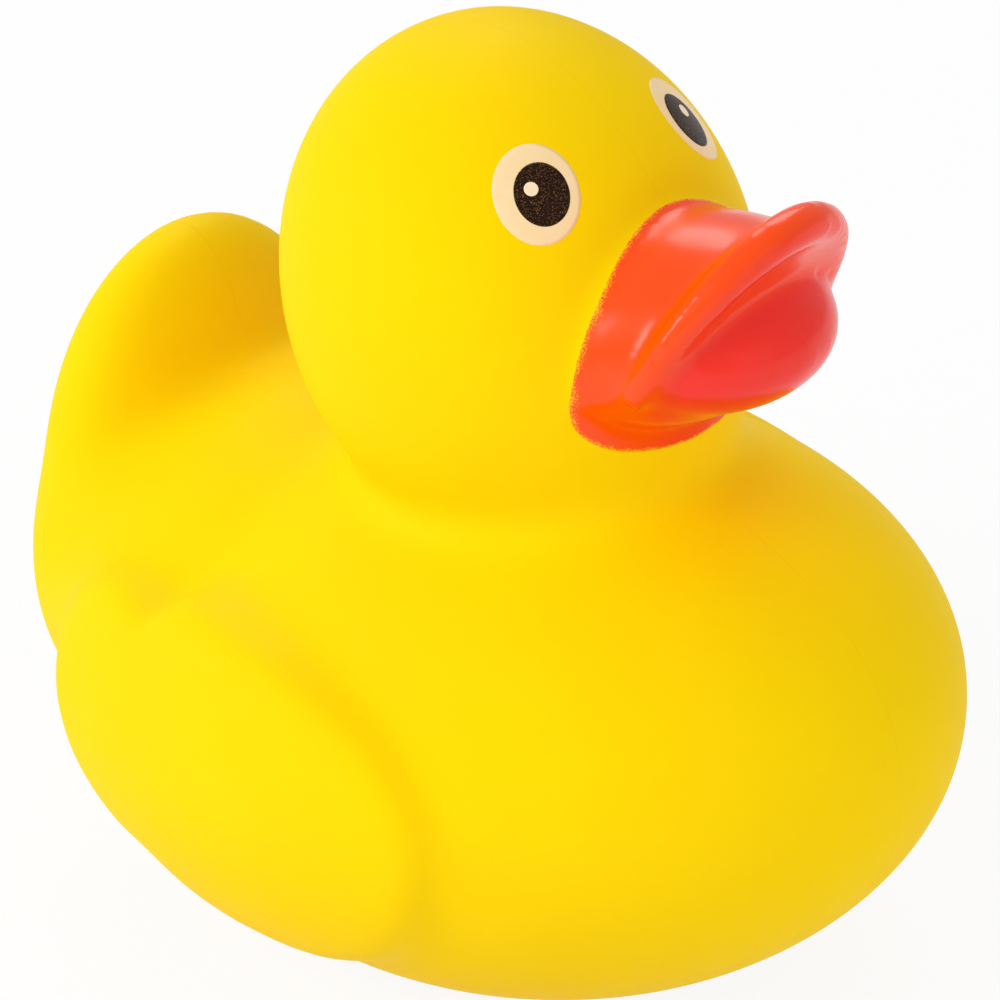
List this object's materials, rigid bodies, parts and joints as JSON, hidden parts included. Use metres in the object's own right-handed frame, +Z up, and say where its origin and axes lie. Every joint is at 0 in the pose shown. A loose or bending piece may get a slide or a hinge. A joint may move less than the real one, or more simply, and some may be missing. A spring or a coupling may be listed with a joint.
{
  "type": "rubber duck",
  "caption": "Floating bath duck: a hollow soft vinyl body with a sprayed beak, printed eyes, a pressed-in base squeaker and a ballast ring.",
  "frame": {"origin": "centre of the footprint at the level of the flat base", "axes": "+Z up; the duck faces -Y; the mirror plane between its left and right sides is x = 0, with its left side at +X"},
  "size_m": [0.0693, 0.0847, 0.08],
  "materials": {
    "yellow_vinyl": "satin soft vinyl",
    "orange_paint": "gloss sprayed paint",
    "cream_ink": "satin printing ink",
    "black_ink": "satin printing ink",
    "cream_dot_ink": "satin printing ink",
    "milky_plastic": "moulded, semi matte",
    "brass_strip": "rolled strip",
    "steel": "turned, zinc plated"
  },
  "bodies": {
    "duck": {"body_shell": "yellow_vinyl", "beak_paint": "orange_paint", "eye_white_left": "cream_ink", "eye_white_right": "cream_ink", "eye_pupil_left": "black_ink", "eye_pupil_right": "black_ink", "eye_glint_left": "cream_dot_ink", "eye_glint_right": "cream_dot_ink", "squeaker_body": "milky_plastic", "squeaker_cap": "milky_plastic", "reed_block": "milky_plastic", "reed_clamp": "milky_plastic", "ballast_ring": "steel"},
    "reed": {"squeaker_reed": "brass_strip"}
  },
  "joints": [
    {"name": "reed_bend", "type": "hinge", "parent": "duck", "child": "reed", "pos_m": [0, 0, 0.0095], "axis": [1, 0, 0], "range_deg": [-2, 2], "stiffness_Nm_per_rad": 0.00003}
  ]
}
